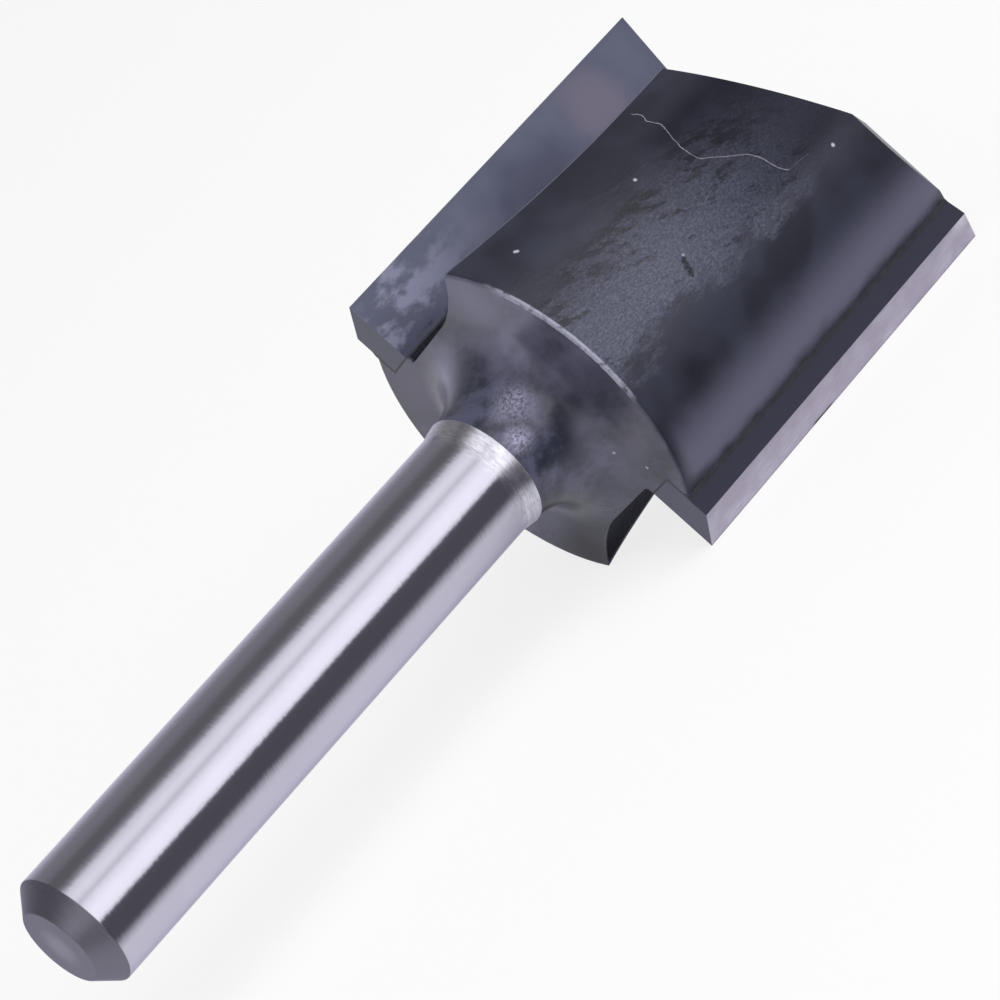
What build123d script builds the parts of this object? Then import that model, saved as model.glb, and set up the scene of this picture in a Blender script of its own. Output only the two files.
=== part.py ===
from build123d import *
from math import atan2, cos, radians, sin, sqrt
import os

# Two-flute straight router bit with brazed carbide tips, in millimetres.
#
# It is modelled upright first: the tool axis is Z, the free end of the shank is at z = 0
# and the cutting end is at the top. The tool cuts turning from +X towards +Y. Wing one
# has its cutting edge on the +X side, and wing two is wing one turned by half a turn.
# At the end the tool is laid down as it comes to rest, with its axis along X.

# Shank: a 1/4 inch ground cylinder
SHANK_DIAMETER = 6.35
SHANK_TOP = 31.4            # where the bright ground shank ends
END_CHAMFER = 1.06          # 45 degrees
WHEEL_EXIT_LENGTH = 0.9     # where the grinding wheel runs out below the top of the shank
WHEEL_EXIT_RISE = 0.17
EDGE_ROUND = 0.12           # both edges of the end chamfer are broken

# Neck and cutter body
NECK_RADIUS = 3.27
NECK_FILLET = 3.42          # concave radius from the neck up to the flat shoulder
BODY_DIAMETER = 18.96
RIM_ROUND = 0.25

# Cutting geometry
CUT_DIAMETER = 21.6
CUT_LENGTH = 22.7
RAKE_SETBACK = 3.38         # the rake face lies this far behind the diametral plane
RELIEF_ANGLE = 14.8         # of the land behind the cutting edge
TIP_THICKNESS = 1.92
TIP_INNER = 6.6             # distance of the tip's inner face from the diametral plane
BRAZE_GAP = 0.1
BRAZE_BEAD = 0.25           # width of the bead that creeps out behind the tip

# Flute
WALL_DISTANCE = 6.12        # flat wall of the flute from the diametral plane
WALL_ARC_START = 1.2        # where the flat wall starts to curve out to the heel
HEEL_DISTANCE = 6.64        # of the heel edge from the diametral plane, past the run-out
RUN_OUT_RADIUS = 84.0       # of the milling cutter that leaves the heel web at the shoulder
RUN_OUT_END = 47.5          # height where that web has died out
RUN_OUT_STEPS = 4           # parts of equal height that the web is lofted in
FLUTE_CORNER = 0.3
WALL_OVERLAP = 0.02         # sinks the start of the web into the flat wall
WEB_OVERLAP = 1.2           # carries the web past the heel and behind the wall

# Ground faces at the cutting end, as rise per millimetre along X and Y on wing one
TIP_END_SLOPE = (0.15, 0.266)
BACKING_SLOPE = (-0.058, 0.784)
HEEL_SLOPE = (0.566, 0.411)
BACKING_RISE = 4.0          # where the backing plane meets the axis, above the tip end
HEEL_DROP = 0.5             # where the heel plane meets the axis, below the tip end
CORE_DROP = 2.5             # flat floor of the gash between the tips, below the tip end

# Worked out from the sizes above
SHANK_RADIUS = SHANK_DIAMETER / 2
BODY_RADIUS = BODY_DIAMETER / 2
SHOULDER = SHANK_TOP + NECK_FILLET
TIP_END = SHOULDER + CUT_LENGTH
TIP_X = sqrt((CUT_DIAMETER / 2) ** 2 - RAKE_SETBACK ** 2)
TIP_BACK = RAKE_SETBACK + TIP_THICKNESS
SEAT_BACK = TIP_BACK + BRAZE_GAP
SEAT_INNER = TIP_INNER - BRAZE_GAP
FLUTE_START = SHOULDER - NECK_FILLET / 2
HEEL_CORNER = SHOULDER + RIM_ROUND
REACH = 30.0                # half width of the blocks that cut the blank


def heel_x(height):
    """Distance of the heel edge from the diametral plane at one height."""
    rise_left = max(RUN_OUT_END - height, 0)
    return HEEL_DISTANCE + rise_left ** 2 / (2 * RUN_OUT_RADIUS)


def heel_y(height):
    return sqrt(BODY_RADIUS ** 2 - heel_x(height) ** 2)


def half_turn(shape):
    return shape.rotate(Axis.Z, 180)


def turned_blank():
    """Shank, neck and full round body, turned and ground from one bar."""
    with BuildPart() as blank:
        with BuildSketch(Plane.XZ):
            with BuildLine():
                Polyline(
                    (0, 0),
                    (SHANK_RADIUS - END_CHAMFER, 0),
                    (SHANK_RADIUS, END_CHAMFER),
                    (SHANK_RADIUS, SHANK_TOP - WHEEL_EXIT_LENGTH),
                    (SHANK_RADIUS + WHEEL_EXIT_RISE, SHANK_TOP),
                    (NECK_RADIUS, SHANK_TOP),
                )
                CenterArc((NECK_RADIUS + NECK_FILLET, SHANK_TOP), NECK_FILLET, 180, -90)
                Line((NECK_RADIUS + NECK_FILLET, SHOULDER), (BODY_RADIUS - RIM_ROUND, SHOULDER))
                CenterArc((BODY_RADIUS - RIM_ROUND, SHOULDER + RIM_ROUND), RIM_ROUND, -90, 90)
                Polyline((BODY_RADIUS, SHOULDER + RIM_ROUND), (BODY_RADIUS, TIP_END), (0, TIP_END), (0, 0))
            make_face()
        revolve(axis=Axis.Z)
        end_face_edge, chamfer_edge = blank.edges().filter_by(GeomType.CIRCLE).group_by(Axis.Z)[:2]
        fillet(end_face_edge + chamfer_edge, EDGE_ROUND)
    return blank.part


def web_section(height):
    """Section of the web that the run-out leaves between the flat wall and the heel."""
    start_x = WALL_DISTANCE - WALL_OVERLAP
    across = heel_x(height) - start_x
    along = heel_y(height) - WALL_ARC_START
    radius = (along ** 2 + across ** 2) / (2 * across)
    end_y = heel_y(height) + WEB_OVERLAP
    end_x = start_x + radius - sqrt(radius ** 2 - (end_y - WALL_ARC_START) ** 2)
    inner_x = start_x - WEB_OVERLAP
    with BuildSketch(Plane.XY.offset(height)) as section:
        with BuildLine():
            ThreePointArc((start_x, WALL_ARC_START), (heel_x(height), heel_y(height)), (end_x, end_y))
            Polyline(
                (end_x, end_y),
                (end_x, BODY_RADIUS),
                (inner_x, BODY_RADIUS),
                (inner_x, WALL_ARC_START),
                (start_x, WALL_ARC_START),
            )
        make_face()
    return section.sketch


def flute_cut():
    """The space of the flute in front of wing one's rake face."""
    with BuildPart() as channel:
        with BuildSketch(Plane.XY.offset(FLUTE_START)):
            with Locations((WALL_DISTANCE, -RAKE_SETBACK)):
                Rectangle(REACH, REACH, align=(Align.MIN, Align.MIN))
        extrude(amount=REACH)
        corner = channel.edges().filter_by(Axis.Z).sort_by_distance((0, 0, SHOULDER))[0]
        fillet(corner, FLUTE_CORNER)
    heights = [FLUTE_START]
    for step in range(RUN_OUT_STEPS + 1):
        heights.append(HEEL_CORNER + step * (RUN_OUT_END - HEEL_CORNER) / RUN_OUT_STEPS)
    run_out = loft([web_section(height) for height in heights])
    straight = extrude(web_section(RUN_OUT_END), amount=TIP_END - RUN_OUT_END)
    return channel.part - run_out - straight


def space_above(slope, height_on_axis, rear, front):
    """Everything above one sloping ground plane, between two planes across Y."""
    normal = Vector(-slope[0], -slope[1], 1)
    ground = Plane(origin=(0, 0, height_on_axis), x_dir=(1, 0, slope[0]), z_dir=normal)
    block = ground * Box(2 * REACH, 2 * REACH, REACH, align=(Align.CENTER, Align.CENTER, Align.MIN))
    depth = front - rear
    slab = Pos(0, (front + rear) / 2, TIP_END) * Box(3 * REACH, depth, 3 * REACH)
    return block & slab


def tip_end_space(front):
    """Above the plane ground through the tip's corner, dished inwards and relieved behind."""
    on_axis = TIP_END - TIP_END_SLOPE[0] * TIP_X + TIP_END_SLOPE[1] * RAKE_SETBACK
    return space_above(TIP_END_SLOPE, on_axis, -REACH, front)


def end_cut():
    """What the end grinding takes off the steel on wing one's side."""
    relief = tip_end_space(-RAKE_SETBACK)
    backing = space_above(BACKING_SLOPE, TIP_END + BACKING_RISE, -REACH, -RAKE_SETBACK)
    heel = space_above(HEEL_SLOPE, TIP_END - HEEL_DROP, -REACH, RAKE_SETBACK)
    return [relief, backing, heel]


def gash_cut():
    core_end = TIP_END - CORE_DROP
    block = Box(2 * REACH, 2 * RAKE_SETBACK, REACH, align=(Align.CENTER, Align.CENTER, Align.MIN))
    return Pos(0, 0, core_end) * block


def upright_prism(points, low, high):
    """A prism with the given outline across the axis, between two heights."""
    with BuildPart() as prism:
        with BuildSketch(Plane.XY.offset(low)):
            with BuildLine():
                Polyline(*points, close=True)
            make_face()
        extrude(amount=high - low)
    return prism.part


def seat_cut():
    """The seat milled into wing one, open to the flute and at both ends."""
    outline = [
        (SEAT_INNER, -SEAT_BACK),
        (REACH, -SEAT_BACK),
        (REACH, -RAKE_SETBACK + BRAZE_GAP),
        (SEAT_INNER, -RAKE_SETBACK + BRAZE_GAP),
    ]
    return upright_prism(outline, SHOULDER - NECK_FILLET, TIP_END + REACH)


def cutter_body():
    """The steel body with both flutes, both tip seats and the ground cutting end."""
    cuts = [flute_cut(), seat_cut()] + end_cut()
    body = turned_blank() - gash_cut()
    for cut in cuts:
        body = body - cut - half_turn(cut)
    return body


def carbide_tip():
    """Wing one's carbide strip, with its relief land and ground end."""
    land_angle = atan2(-RAKE_SETBACK, TIP_X) - radians(90 + RELIEF_ANGLE)
    land_width = TIP_THICKNESS / -sin(land_angle)
    outline = [
        (TIP_INNER, -RAKE_SETBACK),
        (TIP_INNER, -TIP_BACK),
        (TIP_X + land_width * cos(land_angle), -TIP_BACK),
        (TIP_X, -RAKE_SETBACK),
    ]
    return upright_prism(outline, SHOULDER, TIP_END) - tip_end_space(REACH)


def braze_layer():
    """Brazing metal behind and inside the tip, with a small bead along the body's skin."""
    skin_x = sqrt(BODY_RADIUS ** 2 - SEAT_BACK ** 2)
    outline = [
        (SEAT_INNER, -RAKE_SETBACK),
        (SEAT_INNER, -SEAT_BACK),
        (skin_x, -SEAT_BACK),
        (skin_x + BRAZE_BEAD, -TIP_BACK),
        (TIP_INNER, -TIP_BACK),
        (TIP_INNER, -RAKE_SETBACK),
    ]
    return upright_prism(outline, SHOULDER, TIP_END) - tip_end_space(REACH)


def laid_down(pieces):
    """Lay the tool on one cutting edge and the other wing's heel, as it comes to rest.

    The support line joins the cutting edge to the heel's lower corner. The way up is
    square to it, and the origin is under the middle of the whole, on the ground.
    """
    across = Vector(heel_x(HEEL_CORNER) - TIP_X, heel_y(HEEL_CORNER) + RAKE_SETBACK, 0)
    up = Vector(-across.Y, across.X, 0).normalized()
    lying = Plane(origin=(0, 0, 0), x_dir=(0, 0, 1), z_dir=up)
    turned = {name: lying.to_local_coords(piece) for name, piece in pieces.items()}
    box = Compound(list(turned.values())).bounding_box()
    shift = Pos(-box.center().X, -box.center().Y, -box.min.Z)
    return {name: shift * piece for name, piece in turned.items()}


def main():
    tip = carbide_tip()
    braze = braze_layer()
    pieces = {
        "cutter_body": cutter_body(),
        "carbide_tip_1": tip,
        "carbide_tip_2": half_turn(tip),
        "braze_layer_1": braze,
        "braze_layer_2": half_turn(braze),
    }
    os.makedirs("parts", exist_ok=True)
    for name, piece in laid_down(pieces).items():
        export_step(piece, f"parts/{name}.step")


main()
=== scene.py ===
"""Looks, light and camera for a straight router bit that lies on a pale floor.

Lengths are millimetres in the tool's own axes unless a name or comment says metres.
Heights run along the tool's axis, from the free end of the shank to the cutting end.
Turns are degrees round the axis, from a wing back towards the heel of its flute.
"""
import functools
import math
from collections import namedtuple

import bpy
from mathutils import Matrix, Vector


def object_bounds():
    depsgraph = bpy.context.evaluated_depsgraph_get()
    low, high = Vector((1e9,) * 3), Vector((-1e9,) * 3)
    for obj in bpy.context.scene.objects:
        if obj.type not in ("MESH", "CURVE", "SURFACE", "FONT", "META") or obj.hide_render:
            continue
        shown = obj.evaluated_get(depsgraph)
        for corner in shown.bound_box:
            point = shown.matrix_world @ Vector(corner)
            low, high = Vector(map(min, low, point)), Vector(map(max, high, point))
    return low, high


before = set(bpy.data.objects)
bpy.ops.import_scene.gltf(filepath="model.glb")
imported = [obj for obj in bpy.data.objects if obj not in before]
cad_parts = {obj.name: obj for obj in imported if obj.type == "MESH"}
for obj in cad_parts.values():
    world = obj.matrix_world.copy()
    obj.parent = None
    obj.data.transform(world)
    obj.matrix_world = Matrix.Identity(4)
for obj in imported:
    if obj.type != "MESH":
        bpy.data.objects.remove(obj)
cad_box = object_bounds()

MM = 0.001

# The tool's own forms, as heights, radii and distances from the plane through both wings
SHANK_TOP = 31.4
END_CHAMFER = 1.06
SHOULDER = 34.82
CUTTING_END = 57.52
BODY_RADIUS = 9.48
SKIN = 9.3                  # all of the body that is farther from the axis is its round outside
RAKE_SETBACK = 3.38
TIP_BACK = 5.30

# The heel edge of the flute: its turn above the run-out, and how it bends away below the
# run-out's end, in degrees for each square millimetre of height
HEEL_TURN = 134.5
RUN_OUT_END = 47.5
HEEL_CURVE = 0.0537

# How the tool lies: its axis is level, and it is rolled about it until two edges touch the floor
SHANK_END_X = cad_box[0][0] / MM
AXIS_HEIGHT = 8.875
ROLL = math.atan2(0.95876, -0.28423)

# A black card lies on the floor in front of the tool. It starts softly and ends softly.
CARD_NEAR = -5.2
CARD_FULL = -12.0
CARD_FAR = -160.0

# How much of the floor's white comes from its own glow, as it is seen and as it is mirrored
SEEN_GLOW = 0.8
MIRRORED_GLOW = 0.3

# Widths of the finest patterns. A grinding wheel's own marks are a few hundredths of a
# millimetre wide, too fine to show, so they are drawn as coarse as they need to be to show.
SHANK_RINGS = 0.12
SHANK_RIDGES = 0.1
TOP_STROKES = 0.16
LAND_LINES = 0.08
# The grains of the rough patch and the mill's marks in the flutes have about their real size
SAND_GRAINS = 0.12
MILL_MARKS = 0.35

# Marks on the tool, as height, distance along the wings and distance across them
# Smoky stains, grainy bright places on the neck, which are partly scuffs and partly painted glints,
# and the parts of the pit also have a size
SMOKE = (
    ((38.15, 3.90, -8.64), 0.8), ((34.82, 6.35, 5.54), 1.3), ((34.50, 0.90, -5.20), 0.7),
)
NECK_SCUFFS_AND_GLINTS = (
    ((33.37, -1.33, -3.66), 0.9), ((32.20, 0.16, -3.36), 0.6), ((33.90, -4.30, 0.50), 0.7),
)
PIT = (
    ((41.90, 0.24, -9.48), 0.10), ((41.77, 0.38, -9.47), 0.13), ((41.80, 0.52, -9.47), 0.11),
    ((41.68, 0.66, -9.46), 0.15), ((41.72, 0.82, -9.45), 0.12), ((41.60, 0.94, -9.43), 0.14),
    ((41.56, 1.08, -9.42), 0.08),
)
PIT_LIP = (41.99, 0.12, -9.48)
SPECKS = (
    (37.27, -5.81, -7.49), (37.34, -5.74, -7.54), (43.78, -3.92, -8.63), (52.13, 1.93, -9.28),
    (34.65, 3.89, -4.09), (34.82, 5.49, -4.87),
)
PALE_CORNER = (56.60, 8.94, -5.25)
HEAT_MARK = (52.60, -8.05, 3.38)
# Worn and highlit places on the shoulder and the neck, partly wear and partly painted highlights, as
# centre, size and how far they are brightened
WORN_AND_HIGHLIT_PLACES = (
    ((34.82, -5.89, -5.57), 1.7, 0.5), ((33.82, -4.25, 0.50), 1.2, 0.8),
    ((34.82, -5.30, 5.00), 2.0, 0.3),
)
# The burnt chip on the cutting edge, as the heights where it starts, is full, and ends
BURNT_CHIP = (43.2, 43.6, 44.6, 45.1)
# The hair-fine scratch runs round the back, as turn and height
SCRATCH = (
    (82, 50.6), (83, 49.2), (95, 48.3), (102.5, 46.9), (107, 46.5), (114, 46.7), (120, 47.1),
    (125, 47.0), (127.6, 47.2), (131, 47.1),
)


# --- small tools -------------------------------------------------------------------


def linear(hex_colour):
    """The linear RGBA value of an sRGB colour such as #8a8a90."""
    channels = [int(hex_colour[i:i + 2], 16) / 255 for i in (1, 3, 5)]
    curve = [c / 12.92 if c <= 0.04045 else ((c + 0.055) / 1.055) ** 2.4 for c in channels]
    return (*curve, 1.0)


def add(tree, kind, inputs=(), stops=(), **settings):
    """Adds one node. Inputs are values, nodes or sockets, by place or by name; stops fill a ramp."""
    node = tree.nodes.new(kind)
    for name, value in settings.items():
        setattr(node, name, value)
    for key, value in inputs.items() if isinstance(inputs, dict) else enumerate(inputs):
        value = value.outputs[0] if isinstance(value, bpy.types.Node) else value
        if isinstance(value, bpy.types.NodeSocket):
            tree.links.new(value, node.inputs[key])
        else:
            node.inputs[key].default_value = value
    for index, (place, colour) in enumerate(stops):
        elements = node.color_ramp.elements
        element = elements[index] if index < len(elements) else elements.new(place)
        element.position, element.color = place, colour
    return node


def start_material(name):
    """A new material, with its node adder."""
    material = bpy.data.materials.new(name)
    material.use_nodes = True
    material.node_tree.nodes.clear()
    return material, functools.partial(add, material.node_tree)


def overlap(put, *masks):
    """Where all the masks lie, which is their product."""
    return functools.reduce(
        lambda one, other: put("ShaderNodeMath", [one, other], operation="MULTIPLY"), masks)


def either(put, *masks):
    """Where any of the masks lies, which is the largest of them."""
    return functools.reduce(
        lambda one, other: put("ShaderNodeMath", [one, other], operation="MAXIMUM"), masks)


def band(put, value, start, end):
    """0 below `start` and 1 above `end`, with an eased rise; swapped ends make it fall."""
    low, high, rise = (start, end, (0.0, 1.0)) if start < end else (end, start, (1.0, 0.0))
    return put("ShaderNodeMapRange", [value, low, high, *rise], interpolation_type="SMOOTHSTEP")


# --- camera, floor and light -------------------------------------------------------


def set_camera():
    """A long lens, a little above the tool, rolled so that the tool rises across the picture."""
    azimuth, elevation, roll = math.radians(-27.158), math.radians(15.177), math.radians(40.702)
    target, distance = Vector((1.69, -1.18, 7.78)) * MM, 199.09 * MM
    back = Vector((
        math.sin(azimuth) * math.cos(elevation),
        -math.cos(azimuth) * math.cos(elevation),
        math.sin(elevation),
    ))
    lens = bpy.data.cameras.new("camera")
    lens.sensor_width, lens.lens = 36.0, 151.94
    lens.clip_start, lens.clip_end = 0.01, 10.0
    camera = bpy.data.objects.new("camera", lens)
    bpy.context.scene.collection.objects.link(camera)
    camera.location = target + back * distance
    level = (-back).to_track_quat("-Z", "Y").to_matrix()
    camera.rotation_euler = (level @ Matrix.Rotation(-roll, 3, "Z")).to_euler()
    bpy.context.scene.camera = camera


def lay_floor():
    """White paper: it shows white, and the tool's shadow stays on it.

    What the tool mirrors is the same paper, with a black card lying on it close in front.
    """
    paper, put = start_material("white_paper_sweep")
    ray = put("ShaderNodeLightPath")
    seen = either(put, ray.outputs["Is Camera Ray"], ray.outputs["Is Transmission Ray"])
    seen = put("ShaderNodeMath", [seen, SEEN_GLOW], operation="MULTIPLY")
    glow_share = put("ShaderNodeMath", [ray.outputs["Is Glossy Ray"], MIRRORED_GLOW, seen],
                     operation="MULTIPLY_ADD")
    matte = put("ShaderNodeBsdfDiffuse", {"Color": linear("#f4f4f6")})
    glow = put("ShaderNodeEmission", {"Color": linear("#ffffff"), "Strength": 1.0})
    mixed = put("ShaderNodeMixShader", [glow_share, matte, glow])
    depth = put("ShaderNodeSeparateXYZ", [put("ShaderNodeTexCoord").outputs["Object"]]).outputs["Y"]
    card_edge = band(put, depth, CARD_NEAR * MM, CARD_FULL * MM)
    card_end = band(put, depth, CARD_FAR * MM, CARD_FAR / 2 * MM)
    card_share = overlap(put, card_edge, card_end, ray.outputs["Is Glossy Ray"])
    card = put("ShaderNodeEmission", {"Color": linear("#5e5e62"), "Strength": 1.0})
    mixed = put("ShaderNodeMixShader", [card_share, mixed, card])
    put("ShaderNodeOutputMaterial", {"Surface": mixed})

    reach = 2.0  # metres to each side
    mesh = bpy.data.meshes.new("floor")
    corners = [(-reach, -reach, 0), (reach, -reach, 0), (reach, reach, 0), (-reach, reach, 0)]
    mesh.from_pydata(corners, [], [(0, 1, 2, 3)])
    mesh.materials.append(paper)
    floor = bpy.data.objects.new("floor", mesh)
    bpy.context.scene.collection.objects.link(floor)


# What stands round the tool, by the angle about its axis in degrees: 0 is level towards
# the front, 90 is straight up, -90 is straight down. Each row is an angle and a brightness.
STUDIO = (
    (-180, 0.86), (-6, 0.86), (-2, 1.45), (18, 1.52), (33, 1.25), (41, 0.86), (48, 1.15),
    (56, 1.22), (68, 1.00), (77, 0.34), (86, 0.17), (102, 0.17), (114, 0.25), (138, 0.30),
    (150, 0.43), (162, 0.62), (174, 0.76), (180, 0.86),
)


def set_world():
    """A studio: a split softbox in front, a dark ceiling, a pale sweep behind and below."""
    world = bpy.data.worlds.new("studio")
    world.use_nodes = True
    world.node_tree.nodes.clear()
    put = functools.partial(add, world.node_tree)
    ray = put("ShaderNodeLightPath")
    direction = put("ShaderNodeSeparateXYZ", [put("ShaderNodeTexCoord").outputs["Generated"]])
    front = put("ShaderNodeMath", [direction.outputs["Y"], -1.0], operation="MULTIPLY")
    angle = put("ShaderNodeMath", [direction.outputs["Z"], front], operation="ARCTAN2")
    turn = put("ShaderNodeMapRange", [angle, -math.pi, math.pi, 0.0, 1.0])
    levels = [((degrees + 180) / 360, (level / 2,) * 3 + (1,)) for degrees, level in STUDIO]
    panels = put("ShaderNodeValToRGB", [turn], stops=levels)
    lit = put("ShaderNodeBackground", {"Color": panels, "Strength": 2.0})
    white = put("ShaderNodeBackground", {"Color": linear("#ffffff"), "Strength": 1.0})
    mixed = put("ShaderNodeMixShader", [ray.outputs["Is Camera Ray"], lit, white])
    put("ShaderNodeOutputWorld", {"Surface": mixed})
    bpy.context.scene.world = world


def hang_softbox(name, centre, width, watts):
    """A square area lamp at one place in metres, facing the tool. The metal mirrors the world's."""
    light = bpy.data.lights.new(name, "AREA")
    light.size, light.energy = width, watts
    lamp = bpy.data.objects.new(name, light)
    bpy.context.scene.collection.objects.link(lamp)
    lamp.location = centre
    lamp.rotation_euler = (-Vector(centre)).to_track_quat("-Z", "Y").to_euler()
    lamp.visible_glossy = False


# --- where a pattern sits on the tool -----------------------------------------------


# Measures of a place on the tool: the point itself as height, along the wings and across them;
# its height; its distance from the axis; its distance from the plane through both wings; and
# its turn behind the wing, which is counted alike for both wings
Place = namedtuple("Place", "point height radius setback turn")


def tool_place(put):
    """The measures of the place that is shaded, in millimetres, from Object coordinates."""
    sine, cosine = math.sin(ROLL), math.cos(ROLL)
    point = put("ShaderNodeMapping", {
        "Vector": put("ShaderNodeTexCoord").outputs["Object"],
        "Location": (-SHANK_END_X, AXIS_HEIGHT * sine, -AXIS_HEIGHT * cosine),
        "Rotation": (ROLL, 0, 0),
        "Scale": (1 / MM,) * 3,
    })
    height, along, across = put("ShaderNodeSeparateXYZ", [point]).outputs
    flat = put("ShaderNodeCombineXYZ", {"Y": along, "Z": across})
    radius = put("ShaderNodeVectorMath", [flat], operation="LENGTH").outputs["Value"]
    setback = put("ShaderNodeMath", [across], operation="ABSOLUTE")
    polar = put("ShaderNodeMath", [across, along], operation="ARCTAN2")
    half_turns = put("ShaderNodeMath", [polar, math.pi, 0.0], operation="WRAP")
    turn = put("ShaderNodeMapRange", [half_turns, 0.0, math.pi, 180.0, 0.0])
    return Place(point, height, radius, setback, turn)


def grain(put, point, size, stretch=(1, 1, 1), detail=3.0, roughness=0.55):
    """Cloudy noise whose coarsest lumps are about `size` mm, drawn out by `stretch`."""
    scaled = put("ShaderNodeVectorMath", [point, tuple(1 / s for s in stretch)], operation="MULTIPLY")
    return put("ShaderNodeTexNoise", {
        "Vector": scaled, "Scale": 1 / size, "Detail": detail, "Roughness": roughness})


def spot(put, point, centre, size, blur, lumps=None):
    """1 inside a ball of radius `size` mm round a place on the tool, with a soft or lumpy edge."""
    distance = put("ShaderNodeVectorMath", [point, centre], operation="DISTANCE").outputs["Value"]
    if lumps:
        distance = put("ShaderNodeMath", [lumps, size, distance], operation="MULTIPLY_ADD")
        size *= 1.5
    return band(put, distance, size * (1 + blur), size * (1 - blur))


# --- materials ---------------------------------------------------------------------


def shank_finish(put, place):
    """Colour, roughness and relief of the bare shank, its brushed top and its turned end."""
    point, height = place.point, place.height
    stain = grain(put, point, 3.0, detail=3.0)
    colour = put("ShaderNodeMixRGB", [stain, linear("#bcb9c9"), linear("#cecbd9")])
    rings = grain(put, point, SHANK_RINGS, stretch=(1, 12, 12), detail=2.0)
    colour = put("ShaderNodeMixRGB", [rings, colour, linear("#c4c1d0")])

    # The top, where the grinding wheel stopped, is brushed round and mirrors less
    brushed = band(put, height, SHANK_TOP - 1.6, SHANK_TOP - 0.9)
    strokes = grain(put, point, TOP_STROKES, stretch=(1, 4, 4), detail=4.0, roughness=0.7)
    strokes = band(put, strokes, 0.35, 0.65)
    pale = put("ShaderNodeMixRGB", [strokes, linear("#c3c1ce"), linear("#e4e2ec")])
    colour = put("ShaderNodeMixRGB", [brushed, colour, pale])
    rough = put("ShaderNodeMapRange", [brushed, 0.0, 1.0, 0.13, 0.27])

    # The end face and its chamfer are only turned: greyer, with a pale centre
    turned = band(put, height, END_CHAMFER + 0.03, END_CHAMFER - 0.03)
    off_centre = band(put, place.radius, 0.3, 1.4)
    facing = put("ShaderNodeMixRGB", [off_centre, linear("#93919d"), linear("#7b7985")])
    colour = put("ShaderNodeMixRGB", [turned, colour, facing])
    rough = put("ShaderNodeMix", {"Factor": turned, "A": rough, "B": 0.42})

    ridges = grain(put, point, SHANK_RIDGES, stretch=(1, 8, 8), detail=2.0)
    depth = put("ShaderNodeMapRange", [brushed, 0.0, 1.0, 0.45, 0.15])
    relief = put("ShaderNodeMath", [ridges, depth], operation="MULTIPLY")
    return colour, rough, relief


def black_oxide_finish(put, place):
    """Colour of the smooth black oxide: blue-black, smoky, and with a painted sheen beside the tips.
    """
    point, height, turn = place.point, place.height, place.turn
    smoke = band(put, grain(put, point, 4.0, detail=2.0), 0.42, 0.62)
    colour = put("ShaderNodeMixRGB", [smoke, linear("#191b25"), linear("#242633")])
    # Beside the tips the black is painted paler, a painted sheen
    sheen_by_tips = overlap(put, band(put, turn, 64.0, 44.0), band(put, height, SHOULDER, SHOULDER + 1.0))
    colour = put("ShaderNodeMixRGB", [sheen_by_tips, colour, linear("#4f4f62")])

    # It is darker along the tip, with a wavy edge
    streaks = grain(put, point, 1.6, stretch=(1, 1, 1.8), detail=4.0, roughness=0.6)
    wavy_turn = put("ShaderNodeMath", [streaks, 12.0, turn], operation="MULTIPLY_ADD")
    darker_by_tip = overlap(put, band(put, wavy_turn, 47.0, 38.0), band(put, height, SHOULDER, SHOULDER + 0.5))
    colour = put("ShaderNodeMixRGB", [darker_by_tip, colour, linear("#171822")])

    # Below the body the oxide is thinner, in streaks
    below = band(put, height, SHOULDER + 0.05, SHOULDER - 0.3)
    streaked = overlap(put, below, band(put, streaks, 0.38, 0.66))
    return put("ShaderNodeMixRGB", [streaked, colour, linear("#4b4c60")])


def sandy_patch(put, place):
    """Where the back of each wing is left rough: a mask, its grains and their colour."""
    point, height, turn = place.point, place.height, place.turn
    ragged = grain(put, point, 3.0, stretch=(1.6, 1, 1), detail=6.0, roughness=0.7)
    ragged_turn = put("ShaderNodeMath", [ragged, 46.0, turn], operation="MULTIPLY_ADD")
    fade = put("ShaderNodeMapRange", [height, 52.5, 45.0, 0.12, 1.0], interpolation_type="SMOOTHSTEP")
    mask = overlap(
        put, band(put, ragged_turn, 142.0, 128.0), band(put, ragged_turn, 96.0, 106.0), fade,
        band(put, place.radius, SKIN - 0.2, SKIN))

    # Dark drifts lie aslant in it. Towards the tip they are fewer and the patch is painted paler, a
    # painted highlight
    sheen_mask = band(put, turn, 114.0, 88.0)
    aslant = put("ShaderNodeMapping", {"Vector": point, "Rotation": (0, 0, math.radians(-20))})
    drifts = grain(put, aslant, 0.7, stretch=(3.0, 1, 1), detail=6.0, roughness=0.72)
    drifts = put("ShaderNodeMath", [sheen_mask, 0.12, drifts], operation="MULTIPLY_ADD")
    clear = band(put, drifts, 0.44, 0.58)
    hollows = put("ShaderNodeMixRGB", [sheen_mask, linear("#20222b"), linear("#30323e")])
    hollows = put("ShaderNodeMixRGB", [clear, linear("#0a0b10"), hollows])
    crests = put("ShaderNodeMixRGB", [sheen_mask, linear("#373948"), linear("#4c4e60")])

    grains = grain(put, point, SAND_GRAINS, stretch=(1.5, 1, 1), detail=4.0, roughness=0.8)
    shown = put("ShaderNodeMapRange", [clear, 0.0, 1.0, 0.2, 1.1])
    lit = overlap(put, band(put, grains, 0.38, 0.68), shown)
    colour = put("ShaderNodeMixRGB", [lit, hollows, crests])
    return mask, grains, colour


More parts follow.
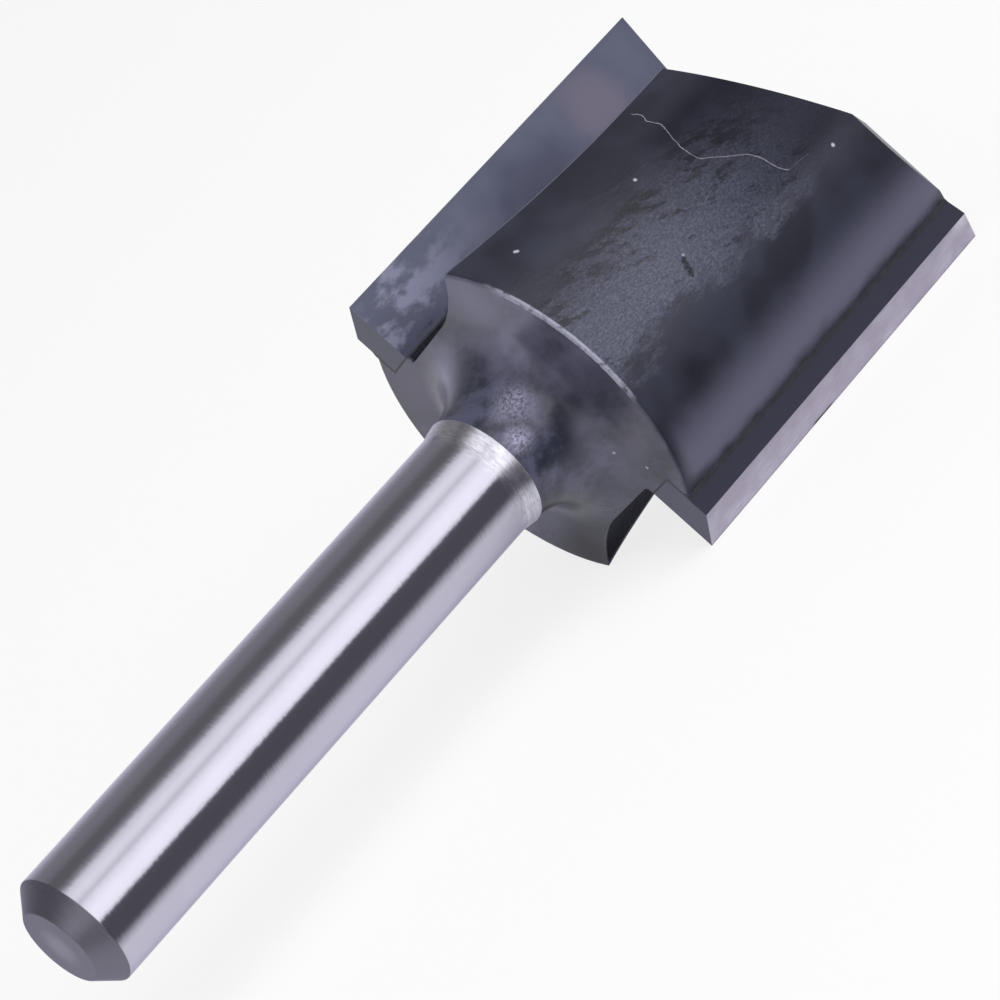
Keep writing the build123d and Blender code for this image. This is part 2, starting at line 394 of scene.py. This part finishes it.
def wear_and_sheen(put, place, grains):
    """Masks of the rim of the shoulder, and of every bright place on the neck, the shoulder and the
    heel edge: partly black oxide rubbed thin, partly painted highlights.
    """
    point, height, radius, turn = place.point, place.height, place.radius, place.turn
    # The rim of the shoulder is bright: partly worn bare, partly a painted highlight
    rim = overlap(
        put, band(put, height, SHOULDER + 0.21, SHOULDER + 0.09), band(put, radius, SKIN - 0.1, SKIN),
        band(put, turn, 70.0, 82.0), band(put, turn, 132.0, 112.0),
        band(put, grain(put, point, 0.4), 0.3, 0.6))

    # Grainy bright places on the neck: partly scuffs, partly painted glints
    scuffs_and_glints = either(put, *[spot(put, point, centre, size, 0.8) for centre, size in NECK_SCUFFS_AND_GLINTS])
    scuffs_and_glints = overlap(put, scuffs_and_glints, put("ShaderNodeMapRange", [grains, 0.40, 0.62, 0.1, 1.0]))

    # The flat shoulder is worn in streaks, most of all below the middle of the back and less towards
    # the heel. That rise and fall round the back is painted highlight and painted shade.
    streaks = grain(put, point, 1.3, stretch=(1, 1, 1.6), detail=3.0)
    wear = put("ShaderNodeMapRange", [streaks, 0.35, 0.65, 0.10, 0.34])
    shoulder = overlap(
        put, wear, put("ShaderNodeMapRange", [turn, 80.0, 122.0, 0.7, 1.5]),
        put("ShaderNodeMapRange", [turn, 124.0, 141.0, 1.0, 0.4]),
        band(put, height, SHANK_TOP + 2.1, SHANK_TOP + 3.2))
    # These places are partly wear, partly painted highlights
    for centre, size, amount in WORN_AND_HIGHLIT_PLACES:
        bright_spot = overlap(put, spot(put, point, centre, size, 0.9, wear), amount)
        shoulder = either(put, shoulder, bright_spot)
    shoulder = overlap(put, shoulder, band(put, height, SHOULDER + 0.12, SHOULDER + 0.05))

    # The heel edge of the flute carries a painted highlight, a bright line which bends away below the
    # run-out's end
    left = put("ShaderNodeMath", [RUN_OUT_END, height], operation="SUBTRACT")
    left = put("ShaderNodeMath", [left, 0.0], operation="MAXIMUM")
    left = put("ShaderNodeMath", [left, 2.0], operation="POWER")
    from_edge = put("ShaderNodeMath", [left, -HEEL_CURVE, turn], operation="MULTIPLY_ADD")
    heel_edge = overlap(
        put, band(put, radius, SKIN - 0.1, SKIN + 0.1),
        band(put, from_edge, HEEL_TURN - 0.7, HEEL_TURN - 0.1),
        put("ShaderNodeMapRange", [wear, 0.10, 0.34, 0.5, 1.0]))
    return rim, either(put, rim, scuffs_and_glints, shoulder, heel_edge)


def hair_scratch(put, place, chips):
    """The mask of one hair-fine scratch, whose path is a curve through the SCRATCH points."""
    first, last = SCRATCH[0][0], SCRATCH[-1][0]
    span = 20.0  # height from the shoulder for which the curve's value is 1
    run = put("ShaderNodeMapRange", [place.turn, first, last, 0.0, 1.0])
    path = put("ShaderNodeValToRGB", [run], stops=[
        ((turn - first) / (last - first), ((height - SHOULDER) / span,) * 3 + (1,))
        for turn, height in SCRATCH])
    path.color_ramp.interpolation = "CARDINAL"
    path = put("ShaderNodeMath", [path, span, SHOULDER], operation="MULTIPLY_ADD")
    path = put("ShaderNodeMath", [chips, 0.25, path], operation="MULTIPLY_ADD")
    off = put("ShaderNodeMath", [place.height, path], operation="SUBTRACT")
    off = put("ShaderNodeMath", [off], operation="ABSOLUTE")
    return overlap(
        put, band(put, off, 0.035, 0.010), band(put, place.radius, SKIN, SKIN + 0.1),
        band(put, place.turn, 81.5, 82.5), band(put, place.turn, 131.5, 130.0))


def ground_and_black_oxide_steel():
    """Tool steel: centreless ground and bright on the shank, black oxide on the neck and body."""
    material, put = start_material("ground_and_black_oxide_steel")
    place = tool_place(put)
    point, height, turn = place.point, place.height, place.turn
    bright, bright_rough, ring_relief = shank_finish(put, place)
    sandy, grains, sand = sandy_patch(put, place)
    black = put("ShaderNodeMixRGB", [sandy, black_oxide_finish(put, place), sand])
    outside = band(put, place.radius, SKIN - 0.1, SKIN + 0.1)

    # The flutes are dark, with mill marks, and mirror little, less so towards the ground cutting end:
    # partly their own black oxide, partly painted shade
    in_flute = overlap(put, band(put, place.radius, BODY_RADIUS - 0.02, BODY_RADIUS - 0.12),
                       band(put, height, SHOULDER + 0.02, SHOULDER + 0.3))
    milling = grain(put, point, MILL_MARKS, stretch=(1, 9, 9), detail=3.0)
    milling = band(put, milling, 0.35, 0.65)
    dark_flute_colour = put("ShaderNodeMixRGB", [milling, linear("#202228"), linear("#343640")])
    black = put("ShaderNodeMixRGB", [in_flute, black, dark_flute_colour])
    flute_dimming = put("ShaderNodeMapRange", [height, 46.0, 54.0, 0.9, 0.15], interpolation_type="SMOOTHSTEP")
    flute_dimming = overlap(put, in_flute, flute_dimming)

    # Towards the cutting end the back mirrors less, as painted shade
    dimmed_back = overlap(put, outside, band(put, height, 40.0, 49.0), band(put, turn, 74.0, 86.0),
                     band(put, turn, 126.0, 116.0), 0.75)

    # The rim and the other bright places are partly bare worn metal and partly painted highlights
    rim, sheen_mask = wear_and_sheen(put, place, grains)
    black = put("ShaderNodeMixRGB", [sheen_mask, black, linear("#9896b0")])
    black = put("ShaderNodeMixRGB", [rim, black, linear("#bbbacc")])
    haze = grain(put, point, 4.0, detail=2.0)
    for centre, size in SMOKE:
        smoky = spot(put, point, centre, size, 0.9, haze)
        black = put("ShaderNodeMixRGB", [smoky, black, linear("#10111a")])

    # Small marks: a pit with a pale lip, pale specks and one hair-fine scratch
    chips = grain(put, point, 0.35, stretch=(1, 2.5, 1), detail=4.0, roughness=0.7)
    lip = spot(put, point, PIT_LIP, 0.07, 0.6, chips)
    black = put("ShaderNodeMixRGB", [lip, black, linear("#8a8a98")])
    # The pit's near-black is painted shade in its hollow
    pit = either(put, *[spot(put, point, centre, size, 0.5, chips) for centre, size in PIT])
    black = put("ShaderNodeMixRGB", [pit, black, linear("#08080c")])
    for centre in SPECKS:
        speck = spot(put, point, centre, 0.08, 0.5, chips)
        black = put("ShaderNodeMixRGB", [speck, black, linear("#a9a9b4")])
    black = put("ShaderNodeMixRGB", [hair_scratch(put, place, chips), black, linear("#84828c")])

    oxide = band(put, height, SHANK_TOP - 0.03, SHANK_TOP + 0.03)
    colour = put("ShaderNodeMixRGB", [oxide, bright, black])
    bare = put("ShaderNodeMath", [1.0, oxide], operation="SUBTRACT")
    black_rough = put("ShaderNodeMapRange", [outside, 0.0, 1.0, 0.24, 0.42])
    black_rough = put("ShaderNodeMix", {"Factor": flute_dimming, "A": black_rough, "B": 0.75})
    rough = put("ShaderNodeMix", {"Factor": oxide, "A": bright_rough, "B": black_rough})
    bumps = overlap(put, grains, sandy, 1.8)
    bumps = put("ShaderNodeMath", [pit, -2.0, bumps], operation="MULTIPLY_ADD")
    relief = put("ShaderNodeMix", {"Factor": oxide, "A": ring_relief, "B": bumps})
    bump = put("ShaderNodeBump", {"Strength": 0.8, "Distance": 0.03 * MM, "Height": relief})
    shader = put("ShaderNodeBsdfPrincipled", {
        "Base Color": colour, "Metallic": either(put, bare, flute_dimming, sheen_mask, dimmed_back), "Roughness": rough,
        "Normal": bump, "Specular IOR Level": 0.8, "Specular Tint": linear("#ebe9f8")})
    put("ShaderNodeOutputMaterial", {"Surface": shader})
    return material


def ground_land(put, place, lines):
    """Colour of the land: long faint wheel marks under soft blotches, and one burnt chip."""
    point, height, setback = place.point, place.height, place.setback
    clouds = grain(put, point, 1.6, detail=4.0)
    blotches = band(put, clouds, 0.35, 0.65)
    land = put("ShaderNodeMixRGB", [blotches, linear("#b0aab8"), linear("#c9c5d1")])
    land = put("ShaderNodeMixRGB", [band(put, lines, 0.35, 0.65), land, linear("#b8b2bf")])
    start, full, fading, end = BURNT_CHIP
    ragged_edge = put("ShaderNodeMath", [clouds, 0.25, setback], operation="MULTIPLY_ADD")
    burnt = overlap(put, band(put, height, start, full), band(put, height, end, fading),
                    band(put, ragged_edge, RAKE_SETBACK + 0.30, RAKE_SETBACK + 0.22))
    land = put("ShaderNodeMixRGB", [burnt, land, linear("#4c4340")])
    # One corner of the land is paler
    corner = spot(put, point, PALE_CORNER, 0.6, 0.8, lines)
    return put("ShaderNodeMixRGB", [corner, land, linear("#e4e1e8")])


def heat_marked_rake(put, place):
    """Colour of the rake face: large cloudy heat marks, with smears at the shank end."""
    point, height = place.point, place.height
    heat = grain(put, point, 6.0, detail=3.0, roughness=0.55)
    cooling = put("ShaderNodeMapRange", [height, SHOULDER, CUTTING_END, 0.05, -0.10])
    heat = put("ShaderNodeMath", [heat, cooling])
    rake = put("ShaderNodeValToRGB", [heat], stops=[
        (0.36, linear("#4b4d5e")), (0.47, linear("#545668")), (0.57, linear("#595b6c")),
        (0.70, linear("#626476"))])
    smears = grain(put, point, 1.8, stretch=(1.8, 1, 1), detail=5.0, roughness=0.6)
    lilac = spot(put, point, HEAT_MARK, 1.7, 0.35, smears)
    rake = put("ShaderNodeMixRGB", [lilac, rake, linear("#656170")])
    shank_side = band(put, height, SHOULDER + 8.5, SHOULDER + 2.0)
    pale_smears = overlap(put, band(put, smears, 0.49, 0.60), shank_side)
    rake = put("ShaderNodeMixRGB", [pale_smears, rake, linear("#7b7c92")])
    dark_smears = overlap(put, band(put, smears, 0.40, 0.33), shank_side)
    return put("ShaderNodeMixRGB", [dark_smears, rake, linear("#3c3e4e")])


def ground_carbide():
    """Tungsten carbide: bright where a wheel ground the land, blotchy blue-grey on the rake face."""
    material, put = start_material("ground_carbide")
    place = tool_place(put)
    on_rake = band(put, place.setback, RAKE_SETBACK + 0.05, RAKE_SETBACK + 0.02)
    on_back = band(put, place.setback, TIP_BACK - 0.05, TIP_BACK - 0.02)
    on_end = band(put, place.height, SHOULDER + 0.03, SHOULDER + 0.01)
    lines = grain(put, place.point, LAND_LINES, stretch=(14, 1, 1), detail=2.0)

    # The back and the end by the shank kept a dark skin from the furnace
    land, rake = ground_land(put, place, lines), heat_marked_rake(put, place)
    colour = put("ShaderNodeMixRGB", [on_rake, land, rake])
    colour = put("ShaderNodeMixRGB", [on_end, colour, linear("#4c4c5f")])
    colour = put("ShaderNodeMixRGB", [on_back, colour, linear("#1b1b2a")])
    metal = put("ShaderNodeMath", [1.0, either(put, on_end, on_back)], operation="SUBTRACT")
    rough = put("ShaderNodeMix", {"Factor": on_rake, "A": 0.3, "B": 0.36})
    rough = put("ShaderNodeMix", {"Factor": on_back, "A": rough, "B": 0.6})
    bump = put("ShaderNodeBump", {"Strength": 0.5, "Distance": 0.004 * MM, "Height": lines})
    shader = put("ShaderNodeBsdfPrincipled", {
        "Base Color": colour, "Metallic": metal, "Roughness": rough, "Normal": bump,
        "Specular Tint": linear("#ebe9f8")})
    put("ShaderNodeOutputMaterial", {"Surface": shader})
    return material


def silver_braze():
    """Silver solder, smoked dark by the torch: a dull lumpy line."""
    material, put = start_material("silver_braze")
    lumps = grain(put, tool_place(put).point, 0.5)
    colour = put("ShaderNodeMixRGB", [lumps, linear("#121219"), linear("#33323b")])
    bump = put("ShaderNodeBump", {"Strength": 0.6, "Distance": 0.05 * MM, "Height": lumps})
    shader = put("ShaderNodeBsdfPrincipled", {
        "Base Color": colour, "Metallic": 0.0, "Roughness": 0.45, "Normal": bump})
    put("ShaderNodeOutputMaterial", {"Surface": shader})
    return material


def dress_nodes():
    """Puts the finishes on the tool's own nodes, whose meshes stay as they are."""
    steel, carbide, braze = ground_and_black_oxide_steel(), ground_carbide(), silver_braze()
    finishes = {
        "cutter_body": steel,
        "carbide_tip_1": carbide,
        "carbide_tip_2": carbide,
        "braze_layer_1": braze,
        "braze_layer_2": braze,
    }
    for name, finish in finishes.items():
        for material_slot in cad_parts[name].material_slots:
            material_slot.material = finish


set_camera()
lay_floor()
set_world()
hang_softbox("key_softbox", centre=(0.10, -0.45, 0.30), width=0.4, watts=2.2)
dress_nodes()

bpy.context.scene.view_settings.view_transform = "Standard"
